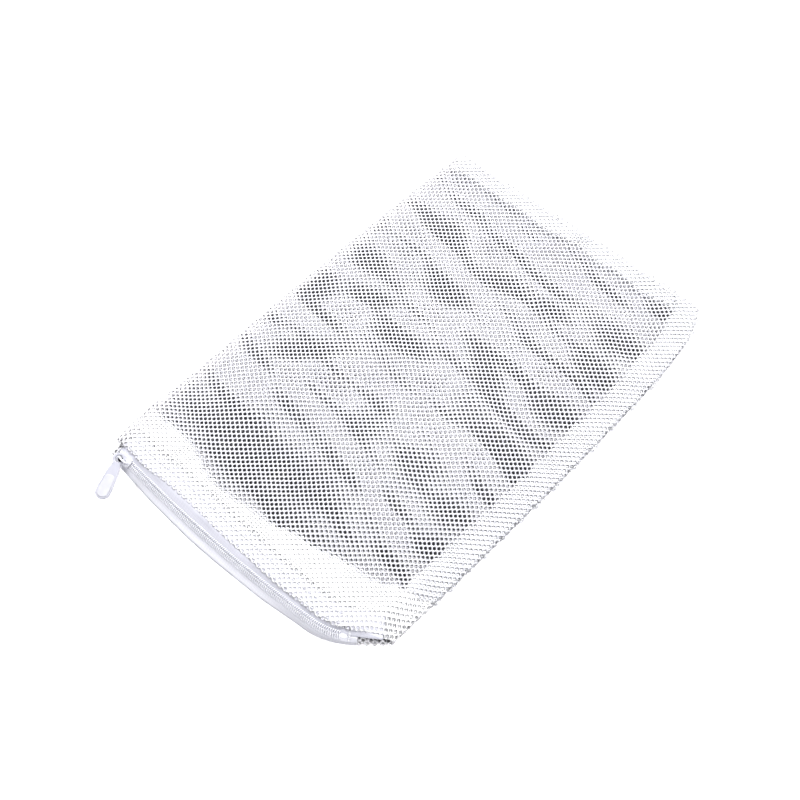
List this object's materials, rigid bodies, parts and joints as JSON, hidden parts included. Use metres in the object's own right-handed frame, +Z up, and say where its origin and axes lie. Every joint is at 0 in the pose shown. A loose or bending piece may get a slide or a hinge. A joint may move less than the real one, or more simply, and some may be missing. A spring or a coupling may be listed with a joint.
{
  "type": "mesh laundry bag",
  "caption": "Flat rectangular mesh wash bag, folded on one long side and seamed on two, closed by a coil zip with slider and tab puller.",
  "frame": {"origin": "on the surface the bag lies on, under the middle of its bounding box", "axes": "+X across the bag from its folded side to its side seam, +Y along the bag from the zip to the closed end, +Z up"},
  "size_m": [0.2183, 0.3367, 0.0101],
  "materials": {
    "mesh": "white knitted polyester mesh with round holes",
    "tape": "white woven polyester tape",
    "thread": "white polyester sewing thread",
    "coil": "white nylon monofilament coil",
    "slider": "white enamelled die casting",
    "puller": "white moulded plastic"
  },
  "bodies": {
    "bag": {"back_mesh_panel": "mesh", "front_mesh_panel": "mesh", "side_fold_mesh": "mesh", "side_seam_turning_back": "mesh", "side_seam_turning_front": "mesh", "end_seam_turning_back": "mesh", "end_seam_turning_front": "mesh", "back_zip_hem": "mesh", "front_zip_hem": "mesh", "side_seam_overlock": "thread", "end_seam_overlock": "thread", "front_zip_stitch_outer": "thread", "front_zip_stitch_inner": "thread", "back_zip_stitch_outer": "thread", "back_zip_stitch_inner": "thread", "zip_bartack_fold_end": "thread", "zip_bartack_seam_end": "thread", "zip_tape_lower": "tape", "zip_tape_upper": "tape", "zip_coil_lower": "coil", "zip_coil_upper": "coil", "zip_top_stop_lower": "coil", "zip_top_stop_upper": "coil", "zip_bottom_stop": "coil"},
    "slider": {"slider_body": "slider"},
    "puller": {"puller": "puller"}
  },
  "joints": [
    {"name": "slider_travel", "type": "hinge", "parent": "bag", "child": "slider", "pos_m": [0.056, 0.8023, 0], "axis": [0, 0, 1], "range_deg": [0, 8.65]},
    {"name": "puller_swing", "type": "hinge", "parent": "slider", "child": "puller", "pos_m": [-0.09734, -0.14303, 0.00811], "axis": [0.066, -0.2327, 0.9703], "range_deg": [-70, 18]}
  ]
}
